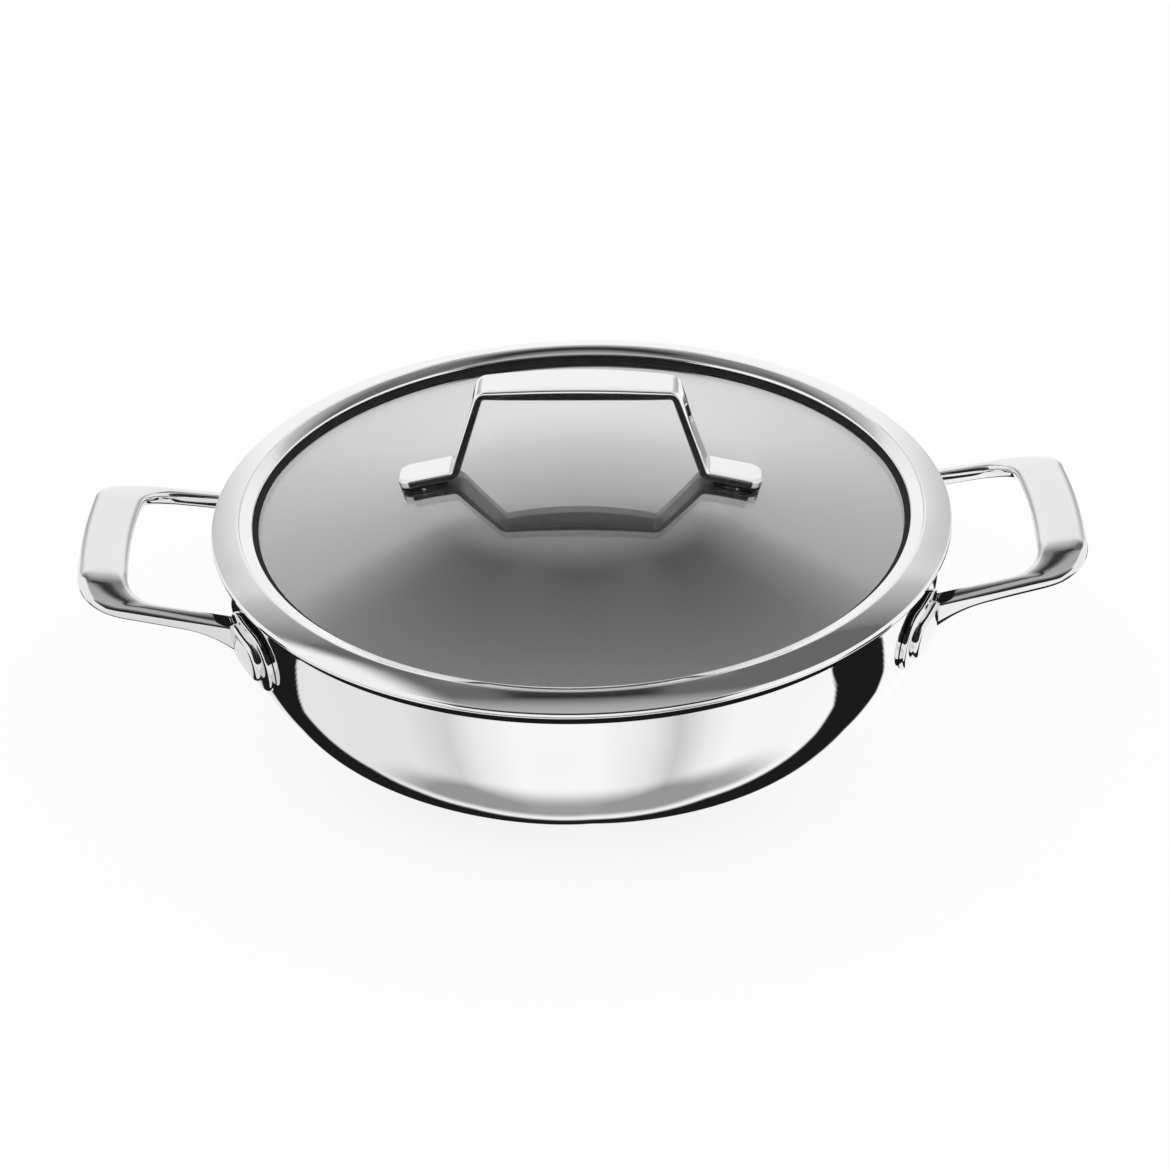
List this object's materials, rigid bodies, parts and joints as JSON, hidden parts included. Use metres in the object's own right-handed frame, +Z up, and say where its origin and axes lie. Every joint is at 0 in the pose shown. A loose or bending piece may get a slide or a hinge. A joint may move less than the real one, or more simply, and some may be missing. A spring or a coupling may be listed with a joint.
{
  "type": "braising pan",
  "caption": "Wide, shallow polished steel braising pan with loop side handles, a disc base and a domed glass lid in a steel ring with a bent strap handle.",
  "frame": {"origin": "centre of the base's underside, where the pan stands on the hob", "axes": "+Z up, +X through the right side handle, -Y towards the viewer of the picture"},
  "size_m": [0.398, 0.2938, 0.1377],
  "materials": {
    "polished_steel": "mirror polished stainless steel",
    "cast_steel": "polished cast stainless steel",
    "brushed_steel": "satin stainless steel",
    "aluminium": "plain",
    "glass": "clear toughened glass",
    "silicone": "matt black silicone"
  },
  "bodies": {
    "pan": {"pan_body": "polished_steel", "base_core": "aluminium", "base_cap": "brushed_steel", "handle_right": "cast_steel", "handle_left": "cast_steel"},
    "lid": {"lid_ring": "polished_steel", "lid_glass": "glass", "lid_handle": "polished_steel", "pad_right": "silicone", "pad_left": "silicone", "bushing_right": "silicone", "bushing_left": "silicone", "washer_right": "brushed_steel", "washer_left": "brushed_steel", "nut_right": "brushed_steel", "nut_left": "brushed_steel"}
  },
  "joints": [
    {"name": "lid_lift", "type": "slide", "parent": "pan", "child": "lid", "axis": [0, 0, 1], "range_m": [0, 0.15]}
  ]
}
